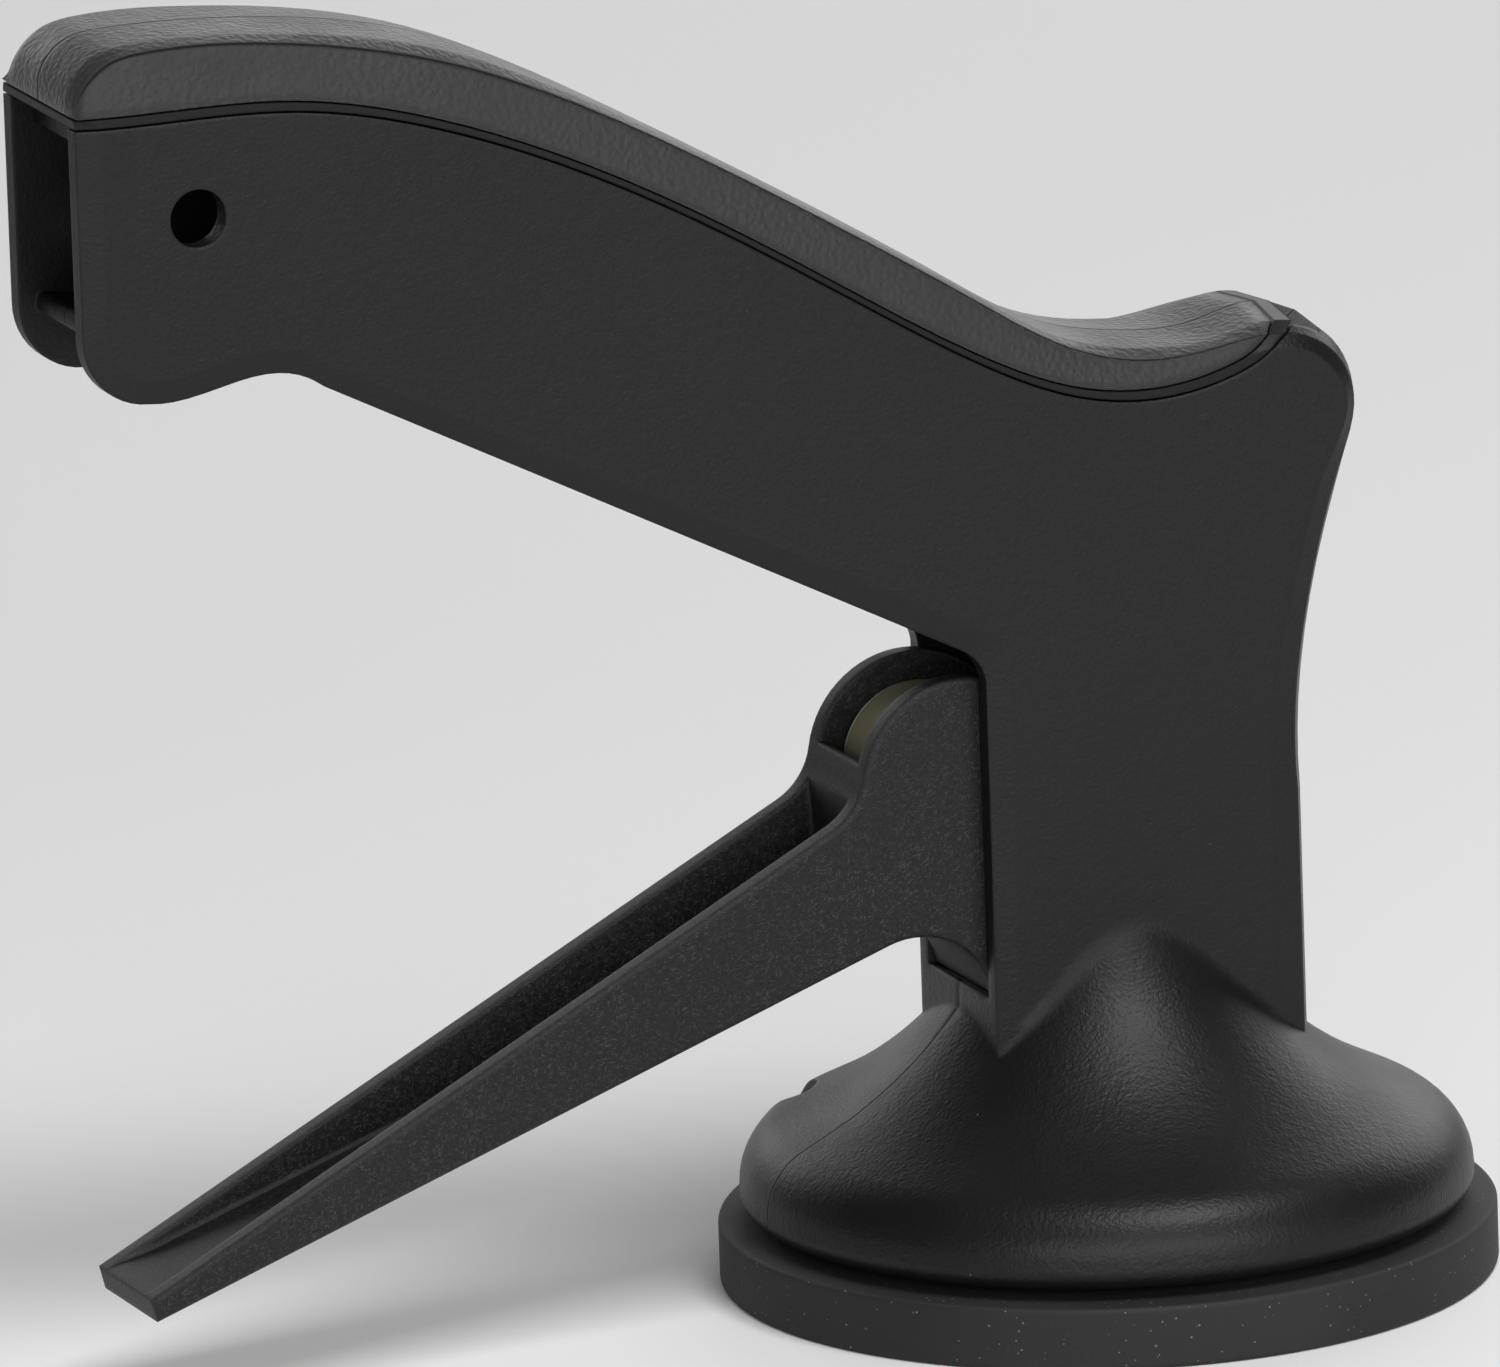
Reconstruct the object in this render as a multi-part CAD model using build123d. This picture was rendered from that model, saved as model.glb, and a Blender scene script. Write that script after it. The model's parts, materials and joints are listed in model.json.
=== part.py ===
from build123d import *
import os
from math import cos, radians, sin, tan

# A suction base with a lever lock and an arched hollow arm that ends in an open clevis.
# Origin: centre of the sealing face.  +Z is up, the arm reaches towards -X, and the
# casing is split on the plane y = 0.  All sizes are in millimetres.

# ---- driving sizes -------------------------------------------------------------------

WIDTH = 20.5                 # across the arm and the column
HALF = WIDTH / 2
WALL = 2.35
INNER = HALF - WALL          # half of the clear width between the two side walls
BEVEL_RISE = 0.3             # how far the shallow edge band falls from the side face
BEVEL_WIDTH = 2.5            # how wide that band is
CREASE_Y = 9.3               # half width at the crease along the top of the grip
SHOULDER_Y = 7.25            # half width where the rounding of the back begins

DISC_RADIUS = 40.0
DISC_HEIGHT = 6.5
RIM_BOTTOM = 7.5             # the bell clears the disc by 1 mm when the lock is open
BELL_WALL = 2.3
FLANK_BLEND = 1.5            # radius where the bell's flare meets the column's flat sides
JOINT_GAP = 0.1              # joint line between the halves, which meet at their screw bosses
LEDGE_TOP = 31.3
LEDGE_UNDER = 26.0
LIP = 0.65                   # thickness of the lip in front of the wear plate
PLATE_TOP = 32.3

ARM_END = -112.2
COLUMN_FRONT = -15.75
EAR_BORE = (-99.5, 124.85)
EAR_BORE_RADIUS = 3.0

SEAM_GAP = 0.25              # shadow gap between the side walls and the grip
BAND = Vector(-0.4, 0, 1.15)  # from the wall's seam to the edge of the soft pad
PAD_GAP = 0.2                # groove between the band and the soft pad
PAD_SKIN = 2.4               # thickness of the soft pad over its carrier
CARRIER_WALL = 2.0
TONGUE_DEPTH = 2.5           # the carrier's tongue reaches this far down between the walls

PIN = (-17.8, 55.4)          # lever pivot, lock open
PIN_RADIUS = 2.0
LIFT = 3.0                   # how far the lock pulls the centre of the disc
LEVER_SWING = 55.0           # degrees from open to locked
CHEEK_INNER = 5.4
CHEEK_OUTER = 7.6
HEAD_RADIUS = 10.8
RIM_ROUND = 0.4
RUNNING = 0.05               # radial clearance of a running fit
BODY_GAP = 0.3               # gap between neighbours on different bodies

EYE_RADIUS = 8.0
LINK_HALF = 4.4              # half thickness of the pull link
BLADE_HALF = 6.0             # half width of the link's blade where it slides
CORE_RADIUS = 24.0
CORE_BOTTOM = 3.1
CORE_TOP = 5.1
STUD_RADIUS = 3.0
SPRING_RADIUS = 13.6
SPRING_WIRE = 0.8
SPRING_TURNS = 5.0

FORK = (7.2, 11.0)           # inner and outer half width of the link's forked foot
FOOT_RADIUS = 16.0
FOOT_TOP = 7.6
SEAT_TOP = 8.4
BUSH = (8.0, 6.0)            # half sizes of the guide bush in the ledge
BUSH_FLANGE_LOW = 24.8
THRUST = 0.7
PIN_BLIND = 6.6              # the near cheek hides the pin's end
RETAINER_RADIUS = 4.0
RETAINER_FACE = 6.9

BOSS_RADIUS = 3.4
INSERT_RADIUS = 2.1
SCREW_RADIUS = 1.45
SCREW_HEAD = (2.8, 2.4)      # radius, height
SCREW_SEAT = 6.0
ARM_SCREWS = [(-84.0, 120.0), (-57.0, 107.5), (-34.0, 95.0), (12.0, 82.0), (13.9, 50.0)]
BELL_SCREWS = [(-24.5, 15.0), (24.5, 15.0)]

# Outline of the side view, from the nose of the grip over the top and down the back.
# RIDGE is on the middle plane, CREASE at the grip's crease and EDGE on the side face.
RIDGE = [(-112.2, 138.0), (-111.4, 140.4), (-109.2, 142.3), (-105.0, 143.0), (-88.6, 142.2),
         (-71.7, 138.7), (-53.3, 129.8), (-31.9, 117.1), (-14.9, 106.3), (-4.2, 100.2),
         (4.5, 98.3), (12.0, 98.2), (18.5, 99.6), (24.1, 97.8), (27.2, 92.0),
         (25.9, 83.3), (22.8, 73.0), (20.8, 62.5), (20.3, 50.0)]
CREASE = [(-111.8, 137.2), (-110.9, 139.2), (-108.5, 141.4), (-104.0, 142.35), (-88.9, 141.4),
          (-71.9, 137.4), (-53.3, 129.0), (-31.9, 116.4), (-14.9, 105.5), (-4.2, 99.2),
          (4.5, 97.2), (11.5, 97.7), (17.5, 98.3), (22.9, 96.6), (26.0, 91.5),
          (24.2, 83.6), (21.1, 73.5), (18.9, 62.2), (18.6, 50.0)]
EDGE = [(-112.2, 136.55), (-111.2, 136.45), (-108.8, 136.3), (-104.0, 136.2), (-88.9, 135.7),
        (-71.9, 131.5), (-53.3, 123.3), (-31.9, 110.7), (-14.9, 100.2), (-4.2, 95.6),
        (4.5, 94.55), (11.2, 95.6), (16.6, 97.0), (21.9, 95.6), (24.9, 90.8),
        (22.4, 84.0), (19.0, 74.0), (16.0, 61.8), (15.4, 50.0)]

# Seam between the side walls and the grip, nose to tail.
SEAM = [(-114.0, 135.25), (-104.0, 134.9), (-88.9, 134.4), (-71.9, 130.25), (-53.3, 122.05),
        (-31.9, 109.4), (-14.9, 98.95), (-4.2, 94.3), (4.5, 93.2), (11.5, 94.3),
        (15.6, 96.0), (18.0, 97.6), (20.6, 98.9), (23.2, 101.5)]

# Underside of the ear at the arm's end, from its rounded corner to the straight underside.
EAR_CORNER = [(-112.2, 113.6), (-110.4, 108.7), (-105.4, 106.4)]
EAR_WAVE = [(-105.4, 106.4), (-102.7, 106.3), (-98.2, 107.05), (-93.3, 107.9), (-86.6, 105.9)]
ARM_CORNER = (-17.95, 69.5)  # where the straight underside meets the column's front
COLUMN_FOOT = 22.0           # the column ends inside the bell here


# ---- helpers -------------------------------------------------------------------------

def at(point):
    """A point of the side view as a 3-D position on the middle plane."""
    return Vector(point[0], 0, point[1])


def blend(first, second, share):
    """Outline part of the way from one list of points to another."""
    return [(a[0] + (b[0] - a[0]) * share, a[1] + (b[1] - a[1]) * share)
            for a, b in zip(first, second)]


def slab(outline, low, high):
    """Side-view face pushed out between two Y positions."""
    return extrude(Plane.XZ.offset(-low) * outline, amount=-(high - low))


def polygon(*points):
    """Side-view face with straight edges, in local coordinates."""
    return make_face(Polyline(*points, close=True))


def rod(centre, radius, low, high):
    """Cylinder along Y."""
    return slab(Pos(*centre) * Circle(radius), low, high)


def post(radius, low, high):
    """Cylinder on the Z axis."""
    return Pos(0, 0, low) * Cylinder(radius, high - low, align=(Align.CENTER, Align.CENTER, Align.MIN))


def block(x, y, z):
    """Box between pairs of limits."""
    size = [limits[1] - limits[0] for limits in (x, y, z)]
    centre = [(limits[0] + limits[1]) / 2 for limits in (x, y, z)]
    return Pos(*centre) * Box(*size)


# ---- outer form of the arm and column ------------------------------------------------

def side_wire(top, inset):
    """Closed outline of the side view; inset pulls the lower edges inwards."""
    end = ARM_END + inset
    front = COLUMN_FRONT + inset
    start = (end, EAR_CORNER[0][1])
    corner = (EAR_CORNER[1][0] + inset * 0.8, EAR_CORNER[1][1] + inset * 0.7)
    wave = [(x, z + inset) for x, z in EAR_WAVE]
    arm_x = ARM_CORNER[0] + inset * 0.6
    arm_z = ARM_CORNER[1] + inset * 0.9
    foot = (front, COLUMN_FOOT)
    heel = (top[-1][0], COLUMN_FOOT)
    return Wire([
        Line(at(top[0]), at((end, top[0][1] - 1.0))).edge(),
        Line(at((end, top[0][1] - 1.0)), at(start)).edge(),
        ThreePointArc(at(start), at(corner), at(wave[0])).edge(),
        Spline(*[at(p) for p in wave]).edge(),
        Line(at(wave[-1]), at((arm_x, arm_z))).edge(),
        ThreePointArc(at((arm_x, arm_z)), at((front - 0.75, arm_z - 1.35)),
                      at((front, arm_z - 3.4))).edge(),
        Line(at((front, arm_z - 3.4)), at(foot)).edge(),
        Line(at(foot), at(heel)).edge(),
        Line(at(heel), at(top[-1])).edge(),
        Spline(*[at(p) for p in reversed(top)]).edge(),
    ])


def outer_form():
    """Whole arm, column and grip as one solid, lofted through stations across the width."""
    land = HALF - BEVEL_RISE
    share = (land - CREASE_Y) / (HALF - CREASE_Y)
    stations = [
        (0.0, RIDGE, 0.0),
        (SHOULDER_Y, blend(RIDGE, CREASE, 0.35), 0.0),
        (CREASE_Y, CREASE, 0.0),
        (land, blend(CREASE, EDGE, share), 0.0),
        (HALF, EDGE, BEVEL_WIDTH),
    ]
    wires = [side_wire(top, inset).moved(Location((0, -y, 0))) for y, top, inset in stations]
    near = Solid.make_loft(wires, ruled=True)
    return near + mirror(near, Plane.XZ)


def above(shift):
    """Everything above the seam moved by shift, across the whole width."""
    line = [(x + shift.X, z + shift.Z) for x, z in SEAM]
    first, last = line[0], line[-1]
    roof = Polyline(last, (last[0], 170), (first[0], 170), first)
    return slab(make_face([Spline(*line), roof]), -HALF - 1, HALF + 1)


# ---- bell ----------------------------------------------------------------------------

def bell_outline():
    """Half section of the bell's outside: rim, shoulder arc, slope and concave flare."""
    widest = (37.7, 10.0)
    rim = ThreePointArc((36.0, RIM_BOTTOM), (37.2, 8.2), widest)
    shoulder = JernArc(start=widest, tangent=(0, 1), radius=7.3, arc_size=63.8)
    slope = Line(shoulder @ 1, (shoulder @ 1) + (shoulder % 1) * 3.8)
    flare = JernArc(start=slope @ 1, tangent=slope % 1, radius=43.5, arc_size=-39.2)
    top = flare @ 1
    closing = Polyline(top, (0, top.Y), (0, RIM_BOTTOM), (36.0, RIM_BOTTOM))
    return make_face([rim, shoulder, slope, flare, closing])


def bell_filled():
    """Bell as if it were solid."""
    return revolve(Plane.XZ * bell_outline(), Axis.Z)


def bell_hollow():
    """Space under the bell, up to the ledge that carries the guide bush."""
    half = bell_outline()
    hollow = offset(half + mirror(half, Plane.YZ), -BELL_WALL)
    hollow += Pos(0, -2 * BELL_WALL) * hollow
    window = Pos(DISC_RADIUS / 2, LEDGE_UNDER / 2) * Rectangle(DISC_RADIUS, LEDGE_UNDER)
    return revolve(Plane.XZ * (hollow & window), Axis.Z)


# ---- casing --------------------------------------------------------------------------

def floor_strip():
    """Floor between the walls of the arm, with its rounded lip between the ears."""
    strip = polygon((-110.3, 112.7), (-110.3, 114.9), (-99.0, 113.4), (-86.0, 108.3),
                    (-34.0, 80.7), (-34.0, 70.0), (-93.5, 100.0), (-93.5, 107.9), (-99.6, 111.2))
    lip = strip.vertices().filter_by_position(Axis.X, -110.4, -110.2)
    strip = fillet(lip, 0.9)
    return slab(strip, -INNER, INNER)


def back_wall():
    """Wall that closes the column at the back."""
    inside = Spline((16.9, 50.0), (17.5, 62.5), (19.8, 73.4), (22.9, 83.6), (24.2, 90.5), (21.0, 96.0))
    outside = Polyline((21.0, 96.0), (40.0, 110.0), (40.0, COLUMN_FOOT), (16.9, COLUMN_FOOT), (16.9, 50.0))
    return slab(make_face([inside, outside]), -INNER, INNER)


def screw_bores(casing, near_side):
    """Bosses for the case screws: threaded inserts near, counterbored seats far."""
    side = -1 if near_side else 1
    for x, z in ARM_SCREWS:
        casing += rod((x, z), BOSS_RADIUS, *sorted((0.0, side * INNER)))
    for x, z in BELL_SCREWS:
        casing += bell_filled() & rod((x, z), BOSS_RADIUS, *sorted((0.0, side * DISC_RADIUS)))
    for x, z in ARM_SCREWS + BELL_SCREWS:
        if near_side:
            casing -= rod((x, z), INSERT_RADIUS, -7.4, 0.0)
        else:
            casing -= rod((x, z), SCREW_RADIUS + 0.15, 0.0, SCREW_SEAT)
            casing -= rod((x, z), SCREW_HEAD[0] + 0.2, SCREW_SEAT, DISC_RADIUS)
    return casing


def casing_halves(form):
    """Near and far halves of the hollow casing, split on the middle plane."""
    body = form - above(Vector(0, 0, 0))
    outer = body + bell_filled()
    flanks = [edge for edge in outer.edges().filter_by(GeomType.BSPLINE)
              if abs(abs(edge.center().Y) - HALF) < 0.01 and edge.bounding_box().max.Z < 43]
    outer = fillet(flanks, FLANK_BLEND)
    casing = outer - block((-150, 60), (-INNER, INNER), (LEDGE_TOP, 200))
    casing += block((COLUMN_FRONT, COLUMN_FRONT + LIP), (-INNER, INNER), (LEDGE_TOP, PLATE_TOP))
    casing += body & (floor_strip() + back_wall())
    casing -= bell_hollow()
    casing -= block((-BUSH[0], BUSH[0]), (-BUSH[1], BUSH[1]), (LEDGE_UNDER - 1, LEDGE_TOP + 1))
    casing -= rod(EAR_BORE, EAR_BORE_RADIUS, -20, 20)
    near = casing & block((-150, 60), (-60, -JOINT_GAP / 2), (0, 200))
    far = casing & block((-150, 60), (JOINT_GAP / 2, 60), (0, 200))
    return screw_bores(near, True), screw_bores(far, False)


# ---- grip ----------------------------------------------------------------------------

def grip_core(skin, half, low):
    """Filled inside of the grip: the ridge lowered by skin, down to low under the seam."""
    nose = ARM_END + skin
    tail = RIDGE[12][0] - skin + 1.5
    top = [(x, z - skin - 0.6) for x, z in RIDGE[3:12]]
    start, end = (nose, top[0][1] - 5.0), (tail, top[-1][1] + 0.2)
    under = [(x, z + low) for x, z in SEAM[1:11]]
    lines = [
        Spline(start, *top, end),
        Line(end, under[-1]),
        Spline(*reversed(under)),
        Polyline(under[0], (nose, under[0][1]), start),
    ]
    return slab(make_face(lines), -half, half)


def grip_parts(form):
    """Hard carrier with its flush band and tongue, and the soft pad over it."""
    band = form & above(Vector(0, 0, SEAM_GAP))
    pad_zone = above(BAND + Vector(0, 0, PAD_GAP))
    core = grip_core(PAD_SKIN, INNER - 0.1, 0.3)
    hollow = grip_core(PAD_SKIN + CARRIER_WALL, INNER - 0.1 - CARRIER_WALL, -TONGUE_DEPTH - 1.0)
    tongue = grip_core(PAD_SKIN, INNER - 0.1, -TONGUE_DEPTH)
    pad = (band & pad_zone) - core
    carrier = (band - above(BAND)) + (tongue & form) - hollow
    return carrier, pad


# ---- lever ---------------------------------------------------------------------------

TIP_LOW = (-107.4, 10.6)
TIP_TOP = (-108.0, 13.0)
RIM_SLOPE = 27.2             # degrees, along the top rims of the channel
UNDER_SLOPE = 19.6           # degrees, along the lever's underside
WEB = 2.2
NECK_CENTRE = (-23.45, 31.15)
NECK_RADIUS = 8.45
CAM_BASE = PIN[1] - PLATE_TOP - BODY_GAP
CAM_RISE = LIFT / radians(LEVER_SWING)


def cam_point(angle):
    """Point of the cam: an involute, whose reach below the pin grows evenly with angle."""
    turn = radians(angle)
    reach = CAM_BASE + CAM_RISE * turn
    return (PIN[0] + reach * sin(turn) + CAM_RISE * cos(turn),
            PIN[1] - reach * cos(turn) + CAM_RISE * sin(turn))


def neck_arc(radius):
    """Concave arc between the lever's underside and the lip of its cam."""
    lean = radians(90 + UNDER_SLOPE)
    middle = radians((90 + UNDER_SLOPE + 8) / 2)
    points = [(NECK_CENTRE[0] + radius * cos(a), NECK_CENTRE[1] + radius * sin(a))
              for a in (lean, middle, radians(10))]
    return ThreePointArc(*points)


def cheek_outline():
    """Side view of one cheek: beam, round head and cam."""
    rim_end = (-27.0, TIP_TOP[1] + (-27.0 - TIP_TOP[0]) * tan(radians(RIM_SLOPE)))
    neck = neck_arc(NECK_RADIUS)
    lip = cam_point(0)
    beam = make_face([
        Polyline(neck @ 0, TIP_LOW, TIP_TOP, rim_end, PIN, lip, neck @ 1),
        neck,
    ])
    lobe = cam_point(LEVER_SWING + 3)
    cam = make_face([
        Spline(*[cam_point(LEVER_SWING * step / 6) for step in range(6)], lobe),
        Polyline(lobe, (lobe[0] - 0.5, lobe[1] + 4.0), (PIN[0] + 3, PIN[1] + HEAD_RADIUS - 0.6),
                 PIN, lip),
    ])
    outline = beam + cam + Pos(*PIN) * Circle(HEAD_RADIUS)
    notch = outline.vertices().sort_by_distance((rim_end[0] - 1.5, rim_end[1] + 0.5))[0]
    return fillet(notch, 7.0)


def lever_part():
    """One moulded channel: two cheeks, a web, a ramp at the tip and a wall at the head."""
    outline = cheek_outline()
    lever = slab(outline, CHEEK_INNER, CHEEK_OUTER) + slab(outline, -CHEEK_OUTER, -CHEEK_INNER)
    rise = WEB / cos(radians(UNDER_SLOPE))
    outer, inner = neck_arc(NECK_RADIUS), neck_arc(NECK_RADIUS + WEB)
    lip = cam_point(0)
    web = make_face([
        Polyline(outer @ 0, TIP_LOW, (TIP_LOW[0], TIP_LOW[1] + rise), inner @ 0),
        inner,
        Polyline(inner @ 1, (lip[0] + WEB, lip[1] + 0.2), lip, outer @ 1),
        outer,
    ])
    lever += slab(web, -CHEEK_INNER, CHEEK_INNER)
    ramp = polygon(TIP_LOW, TIP_TOP, (TIP_TOP[0] + 1.6, TIP_TOP[1] + 0.6), (-96.0, 16.4), (-96.0, 14.4))
    lever += slab(ramp, -CHEEK_INNER, CHEEK_INNER)
    wall = polygon((-28.6, 40.0), (-29.6, 57.9), (-27.6, 58.0), (-26.4, 41.0))
    lever += slab(wall & outline, -CHEEK_INNER, CHEEK_INNER)
    lever -= rod(PIN, PIN_RADIUS + RUNNING, -PIN_BLIND - 0.1, CHEEK_OUTER + 1)
    lever -= rod(PIN, RETAINER_RADIUS + BODY_GAP, RETAINER_FACE - BODY_GAP, CHEEK_OUTER + 1)
    rims = [edge for edge in lever.edges()
            if abs(abs(edge.center().Y) - CHEEK_OUTER) < 0.01 and edge.bounding_box().size.Y < 0.01
            and edge.length > 1.0 and (edge.center() - at(PIN)).length > RETAINER_RADIUS + 4]
    return fillet(rims, RIM_ROUND)


# ---- pull link, pin and core ---------------------------------------------------------

def pull_link():
    """Eye on the lever pin, a flat blade down the column, and a forked foot on the core."""
    blade = polygon((-17.8, 63.2), (-9.0, 62.0), (0.0, 57.5), (BLADE_HALF, 50.0), (BLADE_HALF, 20.5),
                    (FORK[1], 18.0), (FORK[1], CORE_TOP + 1), (-FORK[1], CORE_TOP + 1),
                    (-FORK[1], 18.0), (-BLADE_HALF, 20.5), (-BLADE_HALF, 42.0), (-15.0, 48.2))
    outline = blade + Pos(*PIN) * Circle(EYE_RADIUS)
    window = Pos(0, (FOOT_TOP + 17.0) / 2) * Rectangle(2 * FORK[0], 17.0 - FOOT_TOP)
    outline -= window
    link = slab(outline, -LINK_HALF, LINK_HALF)
    link += post(FOOT_RADIUS, CORE_TOP, FOOT_TOP)
    link -= post(STUD_RADIUS, CORE_TOP - 1, FOOT_TOP + 1)
    link -= rod(PIN, PIN_RADIUS, -10, 10)
    return link


def ring(outer, inner, low, high):
    """Flat ring on the Z axis."""
    return post(outer, low, high) - post(inner, low - 1, high + 1)


def pin_ring(outer, low, high):
    """Flat ring on the lever pin."""
    return rod(PIN, outer, low, high) - rod(PIN, PIN_RADIUS, low - 1, high + 1)


def cup_spring():
    """Compression spring that pushes the disc's core back down."""
    low = SEAT_TOP + SPRING_WIRE
    height = BUSH_FLANGE_LOW - SPRING_WIRE - low
    path = Pos(0, 0, low) * Helix(height / SPRING_TURNS, height, SPRING_RADIUS)
    section = Plane(origin=path @ 0, z_dir=path % 0) * Circle(SPRING_WIRE)
    return sweep(section, path=path, is_frenet=True)


def guide_bush():
    """Bush in the ledge that guides the link's blade and seats the spring."""
    body = block((-BUSH[0], BUSH[0]), (-BUSH[1], BUSH[1]), (LEDGE_UNDER, LEDGE_TOP))
    body += post(15.5, BUSH_FLANGE_LOW, LEDGE_UNDER)
    reach = BLADE_HALF + 2 * RUNNING
    width = LINK_HALF + 2 * RUNNING
    return body - block((-reach, reach), (-width, width), (0, 60))


def wear_plate():
    """Hard plate on the ledge that the cam slides on, behind the casing's front lip."""
    front = COLUMN_FRONT + LIP + 0.1
    return block((front, -BUSH[0] - 0.4), (-INNER + 0.1, INNER - 0.1), (LEDGE_TOP, PLATE_TOP))


def suction_disc():
    """Rubber disc with a pocket in its top for the core."""
    disc = post(DISC_RADIUS, 0, DISC_HEIGHT)
    disc = fillet(disc.edges(), 0.5)
    return disc - post(CORE_RADIUS + BODY_GAP, CORE_BOTTOM - BODY_GAP, DISC_HEIGHT + 1)


def case_screws():
    """Screws from the far side, each with a head, a shank and a drive recess."""
    radius, height = SCREW_HEAD
    screws = []
    for x, z in ARM_SCREWS + BELL_SCREWS:
        screw = rod((x, z), SCREW_RADIUS, -5.6, SCREW_SEAT) + rod((x, z), radius, SCREW_SEAT, SCREW_SEAT + height)
        top = SCREW_SEAT + height
        screw -= slab(Pos(x, z) * RegularPolygon(1.3, 6), top - 1.4, top + 1)
        screws.append(screw)
    return Compound(children=screws)


def thread_inserts():
    """Brass inserts in the near half's bosses."""
    inserts = []
    for x, z in ARM_SCREWS + BELL_SCREWS:
        inserts.append(rod((x, z), INSERT_RADIUS, -6.0, -0.3) - rod((x, z), SCREW_RADIUS, -7, 1))
    return Compound(children=inserts)


def make_parts():
    """Every piece of the base by the name of its node."""
    form = outer_form()
    near, far = casing_halves(form)
    carrier, pad = grip_parts(form)
    washer_low, washer_high = LINK_HALF, LINK_HALF + THRUST
    nut = Pos(0, 0, FOOT_TOP + 1) * extrude(RegularPolygon(5.77, 6), 5)
    return {
        "casing_near_half": near,
        "casing_far_half": far,
        "case_screws": case_screws(),
        "thread_inserts": thread_inserts(),
        "grip_carrier": carrier,
        "grip_pad": pad,
        "wear_plate": wear_plate(),
        "guide_bush": guide_bush(),
        "suction_disc": suction_disc(),
        "pull_link": pull_link(),
        "lever_pin": rod(PIN, PIN_RADIUS, -PIN_BLIND, CHEEK_OUTER - 0.1),
        "pin_retainer": pin_ring(RETAINER_RADIUS, RETAINER_FACE, RETAINER_FACE + 0.5),
        "thrust_washers": Compound(children=[pin_ring(7.8, washer_low, washer_high),
                                             pin_ring(7.8, -washer_high, -washer_low)]),
        "core_plate": ring(CORE_RADIUS, STUD_RADIUS, CORE_BOTTOM, CORE_TOP),
        "core_stud": post(STUD_RADIUS, CORE_BOTTOM, 15.5),
        "stud_washer": ring(6.3, STUD_RADIUS, FOOT_TOP, FOOT_TOP + 1),
        "stud_nut": nut - post(STUD_RADIUS, 0, 60),
        "spring_seat": ring(FOOT_RADIUS, 12.2, FOOT_TOP, SEAT_TOP),
        "cup_spring": cup_spring(),
        "lever": lever_part(),
    }


def main():
    os.makedirs("parts", exist_ok=True)
    for name, piece in make_parts().items():
        piece.label = name
        export_step(piece, f"parts/{name}.step")


main()
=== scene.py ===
import json
from math import cos, pi, radians, sin

import bpy
from mathutils import Matrix, Vector


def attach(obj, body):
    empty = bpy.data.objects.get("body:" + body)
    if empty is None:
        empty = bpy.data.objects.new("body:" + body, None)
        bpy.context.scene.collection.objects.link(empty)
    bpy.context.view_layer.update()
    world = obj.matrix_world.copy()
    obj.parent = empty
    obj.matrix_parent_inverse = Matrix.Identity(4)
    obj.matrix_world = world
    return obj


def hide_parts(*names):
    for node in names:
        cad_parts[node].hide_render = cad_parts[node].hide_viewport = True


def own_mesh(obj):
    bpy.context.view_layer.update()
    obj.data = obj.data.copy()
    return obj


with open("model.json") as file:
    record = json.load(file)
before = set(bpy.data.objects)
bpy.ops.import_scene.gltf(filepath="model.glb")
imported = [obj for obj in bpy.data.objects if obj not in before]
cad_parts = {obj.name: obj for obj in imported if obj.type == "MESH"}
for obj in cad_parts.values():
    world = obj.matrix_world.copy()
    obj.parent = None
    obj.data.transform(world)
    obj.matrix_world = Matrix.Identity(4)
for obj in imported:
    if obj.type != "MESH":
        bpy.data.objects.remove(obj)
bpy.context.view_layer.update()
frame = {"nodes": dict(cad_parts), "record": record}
NODES = frame["nodes"]

# ---- sizes, in metres unless a name says otherwise -------------------------------------

CREASE_Y = 0.0093            # half width at the crease along the top of the grip
HALF_WIDTH = 0.01025         # half width of the arm and column
DISC_EDGE = (0.0062, 0.0065)  # heights where the disc's side turns into its top
BELL_PEAK = (0.0, 0.0, 0.034)  # between the peaks of the bell's flare on the two flat sides
PEAK_REACH = 0.022
EDGE_RADII = (0.0005, 0.003)  # looks of the casing's edges: everywhere, and at the peaks
FACET_X = (-0.1053, -0.1058)  # the ear's end is duller beyond here
FACET_Z = (0.108, 0.11)      # and above here
SINK_MARK = (0.0092, -HALF_WIDTH, 0.0905)
SINK_RADIUS = 0.0008

CAMERA_AZIMUTH = -22.07
CAMERA_ELEVATION = 14.477
CAMERA_ROLL = -1.943
CAMERA_TARGET = Vector((-0.037616, 0.0, 0.066534))
CAMERA_DISTANCE = 2.81
CAMERA_LENS = 663.96         # millimetres
SENSOR_WIDTH = 36.0          # millimetres

FLOOR_SIZE = 12.0
LIGHT_AIM = Vector((-0.02, 0.0, 0.05))
# name, azimuth, elevation, distance, size, radiance
SOFT_BOXES = [
    ("key_box", 14, 61, 1.35, (0.7, 0.55), 9.5),
    ("front_band", -8, 15, 2.0, (2.8, 0.7), 4.6),
    ("back_right_card", 135, 23, 2.2, (2.2, 1.2), 2.1),
    ("back_left_card", -172, 20, 2.4, (1.3, 1.3), 1.7),
]
SURROUND = 0.1

# Directions of the fibres in the lever's plastic, as Euler angles in degrees.
FIBRE_TURNS = [(0, 27, 0), (0, 75, 0), (40, -15, 0), (0, -50, 30), (0, 10, 60)]

IVORY = (0.28, 0.255, 0.165, 1.0)
ACETAL = (0.7, 0.69, 0.6, 1.0)
NYLON = (0.8, 0.82, 0.8, 1.0)
BRASS = (0.75, 0.55, 0.26, 1.0)
BLACK_ZINC = (0.2, 0.2, 0.21, 1.0)
PHOSPHATE = (0.02, 0.02, 0.021, 1.0)
ZINC = (0.55, 0.56, 0.57, 1.0)
BRIGHT_STEEL = (0.6, 0.6, 0.61, 1.0)
SPRING_STEEL = (0.45, 0.45, 0.46, 1.0)


# ---- shader building -------------------------------------------------------------------

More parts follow.
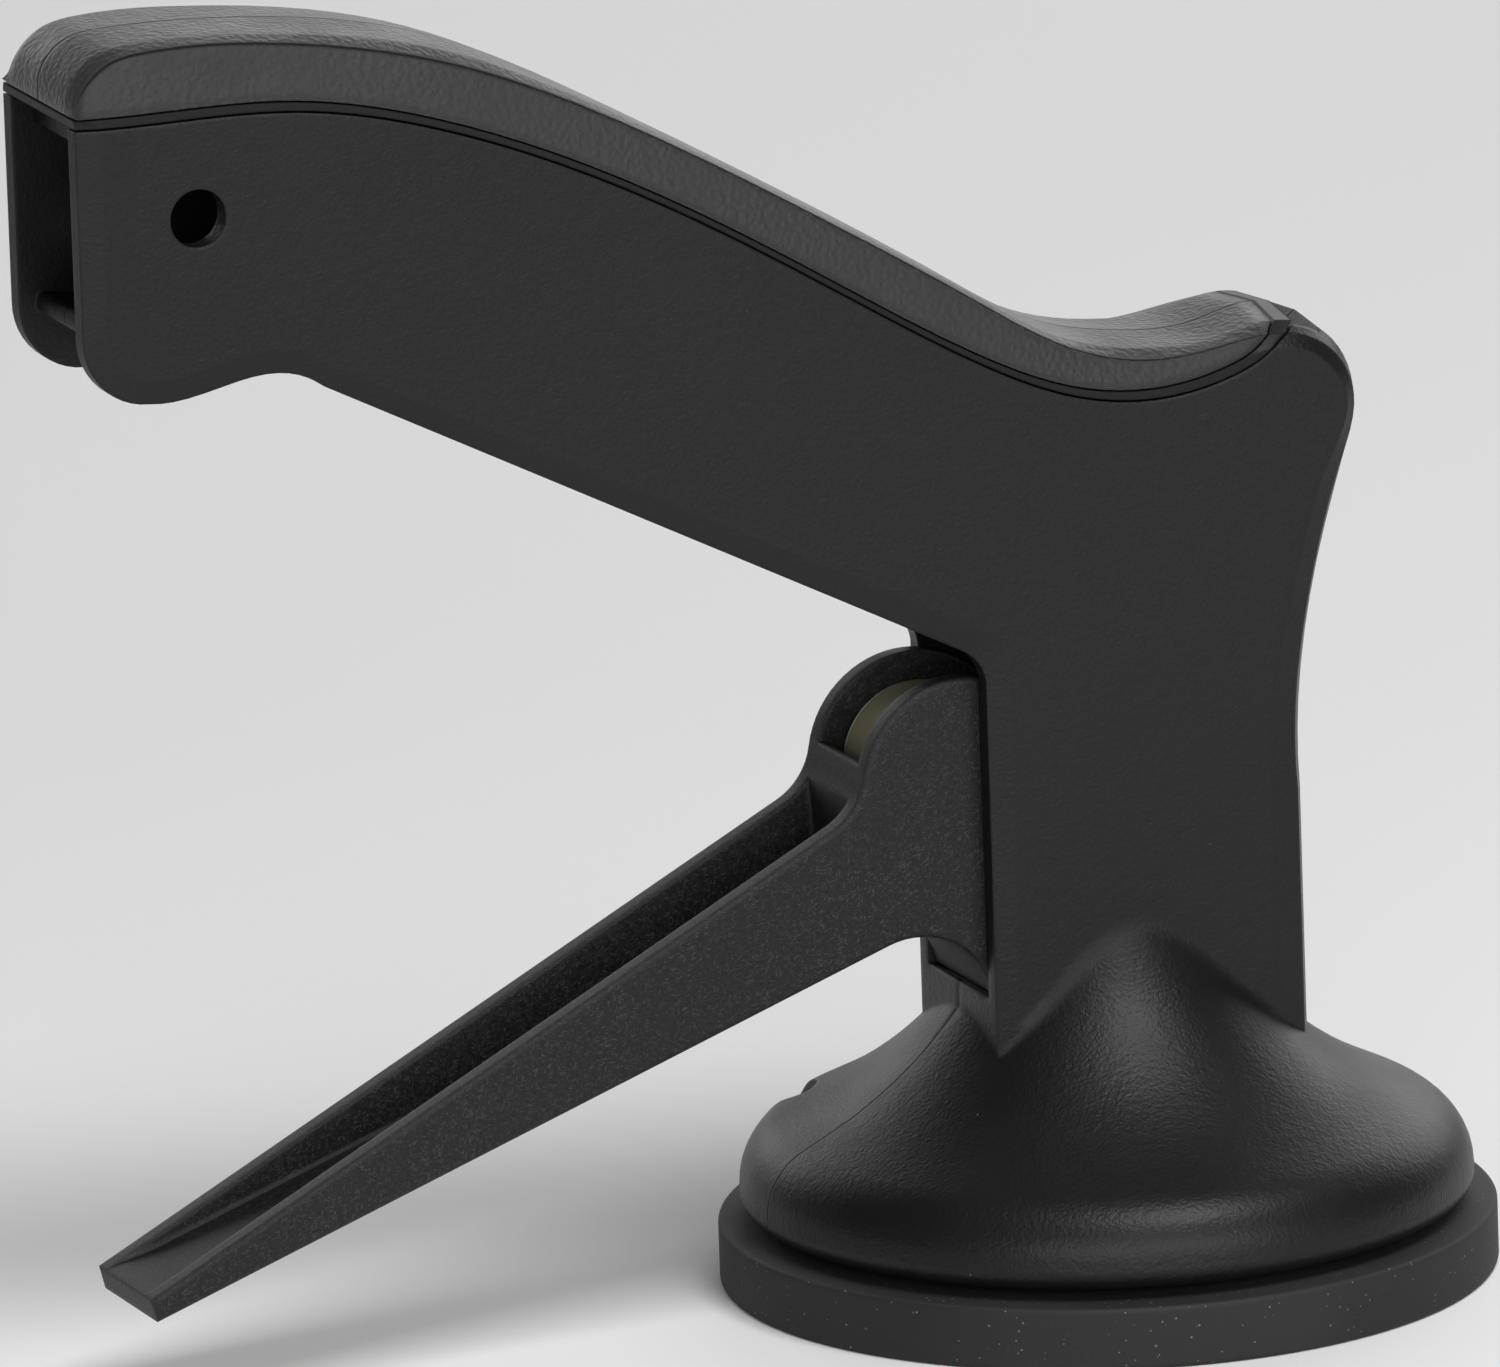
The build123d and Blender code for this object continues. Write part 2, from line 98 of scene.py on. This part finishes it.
class Paint:
    """One procedural material: a Principled shader with helpers that add nodes to it."""

    def __init__(self, name, metal=0.0, specular=0.5):
        self.material = bpy.data.materials.new(name)
        self.material.use_nodes = True
        self.tree = self.material.node_tree
        self.shader = self.tree.nodes["Principled BSDF"]
        self.shader.inputs["Metallic"].default_value = metal
        self.shader.inputs["Specular IOR Level"].default_value = specular
        self.coords = self.add("ShaderNodeTexCoord").outputs["Object"]
        self.normal = None

    def add(self, kind, **settings):
        """New node; settings are its properties."""
        node = self.tree.nodes.new(kind)
        for key, value in settings.items():
            setattr(node, key, value)
        return node

    def put(self, socket, value):
        """Links value to a socket, or sets it."""
        if isinstance(value, bpy.types.NodeSocket):
            self.tree.links.new(value, socket)
        else:
            socket.default_value = value

    def math(self, operation, *values):
        """Math node on numbers or sockets."""
        node = self.add("ShaderNodeMath", operation=operation)
        for socket, value in zip(node.inputs, values):
            self.put(socket, value)
        return node.outputs[0]

    def ramp(self, value, low, high, out_low=0.0, out_high=1.0):
        """Clamped linear map of value from low..high to out_low..out_high."""
        node = self.add("ShaderNodeMapRange", clamp=True)
        for socket, number in zip(node.inputs, (value, low, high, out_low, out_high)):
            self.put(socket, number)
        return node.outputs[0]

    def moved(self, turn=(0, 0, 0), scale=(1, 1, 1), shift=(0, 0, 0)):
        """Object coordinates turned, scaled and shifted."""
        turned = self.add("ShaderNodeVectorRotate", rotation_type="EULER_XYZ")
        self.put(turned.inputs["Vector"], self.coords)
        turned.inputs["Rotation"].default_value = [radians(angle) for angle in turn]
        node = self.add("ShaderNodeMapping")
        self.put(node.inputs["Vector"], turned.outputs[0])
        node.inputs["Location"].default_value = shift
        node.inputs["Scale"].default_value = scale
        return node.outputs[0]

    def warped(self, size, reach):
        """Object coordinates pushed about by noise, at most by reach."""
        jitter = self.add("ShaderNodeTexNoise")
        jitter.inputs["Scale"].default_value = 1.0 / size
        self.put(jitter.inputs["Vector"], self.coords)
        scaled = self.add("ShaderNodeVectorMath", operation="SCALE")
        self.put(scaled.inputs[0], jitter.outputs["Color"])
        scaled.inputs["Scale"].default_value = reach
        total = self.add("ShaderNodeVectorMath", operation="ADD")
        self.put(total.inputs[0], self.coords)
        self.put(total.inputs[1], scaled.outputs[0])
        return total.outputs[0]

    def noise(self, size, detail=2.0, where=None, rough=0.5):
        """Noise whose features are about size across."""
        node = self.add("ShaderNodeTexNoise")
        self.put(node.inputs["Vector"], self.coords if where is None else where)
        node.inputs["Scale"].default_value = 1.0 / size
        node.inputs["Detail"].default_value = detail
        node.inputs["Roughness"].default_value = rough
        return node.outputs["Fac"]

    def cells(self, size, where=None, feature="F1"):
        """Voronoi cells about size across: distance and random colour."""
        node = self.add("ShaderNodeTexVoronoi", feature=feature)
        self.put(node.inputs["Vector"], self.coords if where is None else where)
        node.inputs["Scale"].default_value = 1.0 / size
        return node.outputs

    def chance(self, colour, share):
        """1 in a share of cells, 0 in the rest, from their random colour."""
        split = self.add("ShaderNodeSeparateColor")
        self.put(split.inputs[0], colour)
        return self.math("LESS_THAN", split.outputs[0], share)

    def specks(self, spacing, radius, share, where=None):
        """Round specks of that radius in a share of cells."""
        out = self.cells(spacing, where)
        edge = radius / spacing
        dot = self.ramp(out["Distance"], edge * 0.6, edge, 1.0, 0.0)
        return self.math("MULTIPLY", dot, self.chance(out["Color"], share))

    def fibres(self, length, width, share, turns):
        """Short dashes that lie along several directions."""
        total = None
        for index, turn in enumerate(turns):
            shift = (0.37 * index,) * 3
            where = self.moved(turn=turn, scale=(width / length, 1, 1), shift=shift)
            dash = self.specks(width * 3.0, width * 0.75, share, where)
            total = dash if total is None else self.math("MAXIMUM", total, dash)
        return total

    def axis(self, index):
        """One object coordinate."""
        node = self.add("ShaderNodeSeparateXYZ")
        self.put(node.inputs[0], self.coords)
        return node.outputs[index]

    def line(self, value, place, width):
        """1 where value is within width of place, fading to 0."""
        off = self.math("ABSOLUTE", self.math("SUBTRACT", value, place))
        return self.ramp(off, width * 0.4, width, 1.0, 0.0)

    def near(self, point, radius):
        """1 at a point, fading to 0 at radius."""
        node = self.add("ShaderNodeVectorMath", operation="DISTANCE")
        self.put(node.inputs[0], self.coords)
        node.inputs[1].default_value = point
        return self.ramp(node.outputs["Value"], 0.0, radius, 1.0, 0.0)

    def mix(self, first, second, share):
        """Colour between first and second."""
        node = self.add("ShaderNodeMix", data_type="RGBA")
        shown = [socket for socket in node.inputs if socket.enabled]
        for socket, value in zip(shown, (share, first, second)):
            self.put(socket, value)
        return [socket for socket in node.outputs if socket.enabled][0]

    def soft_edges(self, radius):
        """Edges look rounded to this radius. Returns how close a point is to an edge."""
        bevel = self.add("ShaderNodeBevel", samples=4)
        self.put(bevel.inputs["Radius"], radius)
        plain = self.add("ShaderNodeNewGeometry")
        dot = self.add("ShaderNodeVectorMath", operation="DOT_PRODUCT")
        self.put(dot.inputs[0], bevel.outputs[0])
        self.put(dot.inputs[1], plain.outputs["Normal"])
        self.normal = bevel.outputs[0]
        return self.ramp(dot.outputs["Value"], 0.98, 0.8, 0.0, 1.0)

    def bump(self, height, depth, strength=1.0):
        """Adds relief: height is 0 to 1 and stands for depth in metres."""
        node = self.add("ShaderNodeBump")
        node.inputs["Strength"].default_value = strength
        node.inputs["Distance"].default_value = depth
        self.put(node.inputs["Height"], height)
        if self.normal is not None:
            self.put(node.inputs["Normal"], self.normal)
        self.normal = node.outputs[0]

    def varied(self, size, detail, low, high):
        """Number that drifts between low and high over patches of that size."""
        return self.ramp(self.noise(size, detail), 0.3, 0.7, low, high)

    def finish(self, colour, rough):
        """Connects colour, roughness and relief to the shader."""
        self.put(self.shader.inputs["Base Color"], colour)
        self.put(self.shader.inputs["Roughness"], rough)
        if self.normal is not None:
            self.put(self.shader.inputs["Normal"], self.normal)
        return self.material


def grey(level, warm=0.0):
    """Linear grey, a little warm or cool."""
    return (level * (1 + warm), level, level * (1 - warm), 1.0)


def shaded(colour, factor):
    """Darker tone of a colour."""
    return tuple(channel * factor for channel in colour[:3]) + (1.0,)


# ---- materials -------------------------------------------------------------------------

def casing_plastic():
    """Matte black moulding with fine texture, a sink mark, a duller ear end, dust and edges
    painted lighter as painted highlights.
    """
    paint = Paint("casing_plastic", specular=0.28)
    peak = paint.near(BELL_PEAK, PEAK_REACH)
    edge = paint.soft_edges(paint.ramp(peak, 0.0, 0.6, *EDGE_RADII))
    x, z = paint.axis(0), paint.axis(2)
    paint.bump(paint.noise(0.0011, 3.0), depth=0.00008, strength=0.6)
    paint.bump(paint.noise(0.0004, 2.0), depth=0.00007, strength=0.85)
    paint.bump(paint.noise(0.02, 1.0), depth=0.00012, strength=0.5)
    paint.bump(paint.near(SINK_MARK, SINK_RADIUS), depth=0.00008)
    facet = paint.math("MULTIPLY", paint.ramp(x, *FACET_X), paint.ramp(z, *FACET_Z))
    dust = paint.specks(spacing=0.009, radius=0.00022, share=0.3)
    apart = paint.moved(shift=(0.3, 0.1, 0.2))
    fine_dust = paint.specks(spacing=0.0035, radius=0.0001, share=0.25, where=apart)
    dust = paint.math("MAXIMUM", dust, fine_dust)
    colour = paint.mix(grey(0.0045), grey(0.0075), paint.noise(0.03, 3.0))
    # Edges are painted lighter: painted highlight, wider near the bell's peaks.
    colour = paint.mix(colour, grey(0.03), paint.math("MULTIPLY", edge, 0.4))
    colour = paint.mix(colour, grey(0.25), paint.math("MULTIPLY", dust, 0.6))
    rough = paint.varied(0.012, 3.0, 0.38, 0.46)
    rough = paint.math("ADD", rough, paint.math("MULTIPLY", facet, 0.1))
    return paint.finish(colour, rough)


def carrier_plastic():
    """Smooth satin moulding, dull along its edges."""
    paint = Paint("carrier_plastic", specular=0.22)
    edge = paint.soft_edges(0.0003)
    paint.bump(paint.noise(0.0004, 2.0), depth=0.00001, strength=0.4)
    colour = paint.mix(grey(0.004), grey(0.007), paint.noise(0.02, 2.0))
    rough = paint.varied(0.006, 2.0, 0.4, 0.48)
    return paint.finish(colour, paint.math("MAXIMUM", rough, edge))


def pad_rubber():
    """Soft pad with a leather-like grain, a crease on each side and a mould line on top,
    both painted dark as painted shade.
    """
    paint = Paint("pad_rubber", specular=0.4)
    paint.shader.inputs["Sheen Weight"].default_value = 0.25
    paint.shader.inputs["Sheen Roughness"].default_value = 0.4
    paint.soft_edges(0.0014)
    grain = paint.cells(0.00062, paint.warped(0.0009, 0.0005), "SMOOTH_F1")["Distance"]
    paint.bump(paint.ramp(grain, 0.15, 0.7, 1.0, 0.0), depth=0.00008, strength=0.85)
    paint.bump(paint.noise(0.0003, 2.0), depth=0.00002, strength=0.5)
    y = paint.math("ABSOLUTE", paint.axis(1))
    crease = paint.line(y, CREASE_Y, 0.00007)
    mould_line = paint.line(y, 0.0, 0.0003)
    line_shade = paint.math("MAXIMUM", crease, mould_line)
    paint.bump(paint.math("SUBTRACT", 1.0, mould_line), depth=0.00015)
    paint.bump(paint.math("SUBTRACT", 1.0, crease), depth=0.0001)
    colour = paint.mix(grey(0.016), grey(0.022), paint.noise(0.015, 3.0))
    # The crease and the mould line are painted near black: painted shade in the grooves.
    colour = paint.mix(colour, grey(0.002), line_shade)
    dust = paint.specks(spacing=0.006, radius=0.00016, share=0.2)
    colour = paint.mix(colour, grey(0.2), paint.math("MULTIPLY", dust, 0.5))
    rough = paint.varied(0.008, 3.0, 0.5, 0.62)
    return paint.finish(colour, paint.math("MAXIMUM", rough, line_shade))


def disc_rubber():
    """Matte rubber with moulding rings, settled dust and a top painted lighter as painted
    light.
    """
    paint = Paint("disc_rubber", specular=0.4)
    paint.soft_edges(0.0004)
    paint.bump(paint.noise(0.0006, 3.0), depth=0.00005, strength=0.5)
    paint.bump(paint.noise(0.006, 2.0), depth=0.00008, strength=0.5)
    rings = paint.noise(0.0007, 1.0, paint.moved(scale=(0.02, 0.02, 1)))
    paint.bump(rings, depth=0.00002, strength=0.4)
    dust = paint.specks(spacing=0.0014, radius=0.00014, share=0.5)
    for spacing, radius, share, shift in [(0.004, 0.0003, 0.35, (0.2, 0.4, 0.1)),
                                          (0.0008, 0.0001, 0.35, (0.5, 0.2, 0.3))]:
        more = paint.specks(spacing, radius, share, paint.moved(shift=shift))
        dust = paint.math("MAXIMUM", dust, more)
    haze = paint.ramp(paint.noise(0.02, 4.0), 0.4, 0.75)
    # The top is painted lighter than the side: painted light from above.
    top = paint.ramp(paint.axis(2), *DISC_EDGE)
    colour = paint.mix(grey(0.011), grey(0.02), haze)
    colour = paint.mix(colour, grey(0.03), paint.math("MULTIPLY", top, 0.6))
    colour = paint.mix(colour, grey(0.3), paint.math("MULTIPLY", dust, 0.45))
    return paint.finish(colour, paint.ramp(haze, 0.0, 1.0, 0.64, 0.78))


def lever_plastic():
    """Glass-filled nylon: black with light fibre flecks and rims painted lighter as painted
    highlights.
    """
    paint = Paint("lever_plastic", specular=0.28)
    edge = paint.soft_edges(0.0009)
    flecks = paint.fibres(length=0.00045, width=0.00009, share=0.6, turns=FIBRE_TURNS)
    grain = paint.noise(0.0004, 4.0, rough=0.7)
    paint.bump(grain, depth=0.00008, strength=0.5)
    paint.bump(flecks, depth=0.00002, strength=0.5)
    mottle = paint.ramp(grain, 0.42, 0.68)
    shown = paint.math("MULTIPLY", flecks, paint.varied(0.006, 3.0, 0.25, 0.55))
    colour = paint.mix(grey(0.005), grey(0.022), paint.math("MULTIPLY", mottle, 0.6))
    colour = paint.mix(colour, grey(0.07), shown)
    # Rims are painted lighter and warmer: painted highlight along the rounded edges.
    colour = paint.mix(colour, grey(0.06, 0.02), paint.math("MULTIPLY", edge, 0.55))
    return paint.finish(colour, paint.ramp(grain, 0.3, 0.7, 0.44, 0.58))


def tinted_plastic(name, tone, rough, subsurface):
    """Light moulded plastic, a little waxy."""
    paint = Paint(name)
    paint.soft_edges(0.0003)
    paint.bump(paint.noise(0.0015, 3.0), depth=0.00003, strength=0.4)
    colour = paint.mix(shaded(tone, 0.86), tone, paint.noise(0.01, 3.0))
    paint.shader.inputs["Subsurface Weight"].default_value = subsurface
    paint.shader.inputs["Subsurface Radius"].default_value = (0.9, 0.8, 0.5)
    paint.shader.inputs["Subsurface Scale"].default_value = 0.002
    return paint.finish(colour, paint.varied(0.004, 2.0, rough - 0.05, rough + 0.05))


def metal(name, tone, rough, grain=(1, 1, 12)):
    """Machined or rolled metal with fine streaks and slight staining."""
    paint = Paint(name, metal=1.0)
    paint.soft_edges(0.00025)
    streaks = paint.noise(0.0006, 3.0, paint.moved(scale=grain))
    paint.bump(streaks, depth=0.00001, strength=0.5)
    stain = paint.ramp(paint.noise(0.003, 4.0), 0.3, 0.6)
    colour = paint.mix(shaded(tone, 0.75), tone, stain)
    return paint.finish(colour, paint.ramp(streaks, 0.3, 0.7, rough - 0.08, rough + 0.1))


def make_materials():
    """Every finish by the record's slot name."""
    return {
        "casing_plastic": casing_plastic(),
        "carrier_plastic": carrier_plastic(),
        "pad_rubber": pad_rubber(),
        "disc_rubber": disc_rubber(),
        "lever_plastic": lever_plastic(),
        "link_plastic": tinted_plastic("link_plastic", IVORY, 0.4, subsurface=0.3),
        "bush_plastic": tinted_plastic("bush_plastic", ACETAL, 0.45, subsurface=0.15),
        "washer_plastic": tinted_plastic("washer_plastic", NYLON, 0.4, subsurface=0.2),
        "screw_steel": metal("screw_steel", BLACK_ZINC, 0.4),
        "insert_brass": metal("insert_brass", BRASS, 0.35),
        "dark_steel": metal("dark_steel", PHOSPHATE, 0.5),
        "plate_steel": metal("plate_steel", ZINC, 0.35, grain=(12, 1, 1)),
        "pin_steel": metal("pin_steel", BRIGHT_STEEL, 0.25, grain=(1, 12, 1)),
        "spring_steel": metal("spring_steel", SPRING_STEEL, 0.3),
    }


def dress(obj, material):
    """Gives the object one material."""
    obj.data.materials.clear()
    obj.data.materials.append(material)


# ---- the object ------------------------------------------------------------------------

def soft_spring():
    """Smooth-shaded copy of the cup spring, attached to the casing in place of the hidden
    CAD spring.
    """
    cad = NODES["cup_spring"]
    spring = bpy.data.objects.new("cup_spring_coil", cad.data.copy())
    bpy.context.scene.collection.objects.link(spring)
    for polygon in spring.data.polygons:
        polygon.use_smooth = True
    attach(spring, "casing")
    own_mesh(spring)
    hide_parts("cup_spring")
    return spring


def dress_object(materials):
    """Gives every node the finish of its slot."""
    slots = {part["node"]: part["material_slot"] for part in frame["record"]["subparts"]}
    for name, obj in NODES.items():
        dress(obj, materials[slots[name]])
    dress(soft_spring(), materials["spring_steel"])


# ---- stage, light and camera -----------------------------------------------------------

def make_floor():
    """Large pale floor under the disc."""
    bpy.ops.mesh.primitive_plane_add(size=FLOOR_SIZE, location=(0, 0, 0))
    floor = bpy.context.object
    floor.name = "floor"
    paint = Paint("floor_pale", specular=0.2)
    shade = paint.mix(grey(0.86), grey(0.9), paint.noise(0.5, 2.0))
    dress(floor, paint.finish(shade, 0.9))


def direction(azimuth, elevation):
    """Unit vector from the object; azimuth 0 is towards -Y and 90 towards +X."""
    a, e = radians(azimuth), radians(elevation)
    return Vector((sin(a) * cos(e), -cos(a) * cos(e), sin(e)))


def soft_box(name, azimuth, elevation, distance, size, radiance):
    """Rectangular area light that faces the object."""
    light = bpy.data.lights.new(name, "AREA")
    light.shape = "RECTANGLE"
    light.size, light.size_y = size
    light.energy = radiance * pi * size[0] * size[1]
    lamp = bpy.data.objects.new(name, light)
    bpy.context.scene.collection.objects.link(lamp)
    towards = direction(azimuth, elevation)
    lamp.location = LIGHT_AIM + towards * distance
    lamp.rotation_euler = (-towards).to_track_quat("-Z", "Y").to_euler()


def make_lights():
    """Every soft box, and an even surround."""
    for box in SOFT_BOXES:
        soft_box(*box)
    world = bpy.data.worlds.new("surround")
    world.use_nodes = True
    background = world.node_tree.nodes["Background"]
    background.inputs["Color"].default_value = (1, 1, 1, 1)
    background.inputs["Strength"].default_value = SURROUND
    bpy.context.scene.world = world


def make_camera():
    """Camera with a long lens and a slight roll."""
    azimuth, roll = radians(CAMERA_AZIMUTH), radians(CAMERA_ROLL)
    back = direction(CAMERA_AZIMUTH, CAMERA_ELEVATION)
    right = Vector((cos(azimuth), sin(azimuth), 0.0))
    up = back.cross(right)
    axis_x = cos(roll) * right + sin(roll) * up
    axis_y = cos(roll) * up - sin(roll) * right
    data = bpy.data.cameras.new("camera")
    data.lens = CAMERA_LENS
    data.sensor_fit = "HORIZONTAL"
    data.sensor_width = SENSOR_WIDTH
    data.clip_start = 0.1
    data.clip_end = 50.0
    camera = bpy.data.objects.new("camera", data)
    bpy.context.scene.collection.objects.link(camera)
    turn = Matrix((axis_x, axis_y, back)).transposed().to_4x4()
    camera.matrix_world = Matrix.Translation(CAMERA_TARGET + back * CAMERA_DISTANCE) @ turn
    bpy.context.scene.camera = camera


def main():
    dress_object(make_materials())
    make_floor()
    make_lights()
    make_camera()
    bpy.context.scene.view_settings.view_transform = "Standard"
    bpy.context.scene.view_settings.look = "None"


main()
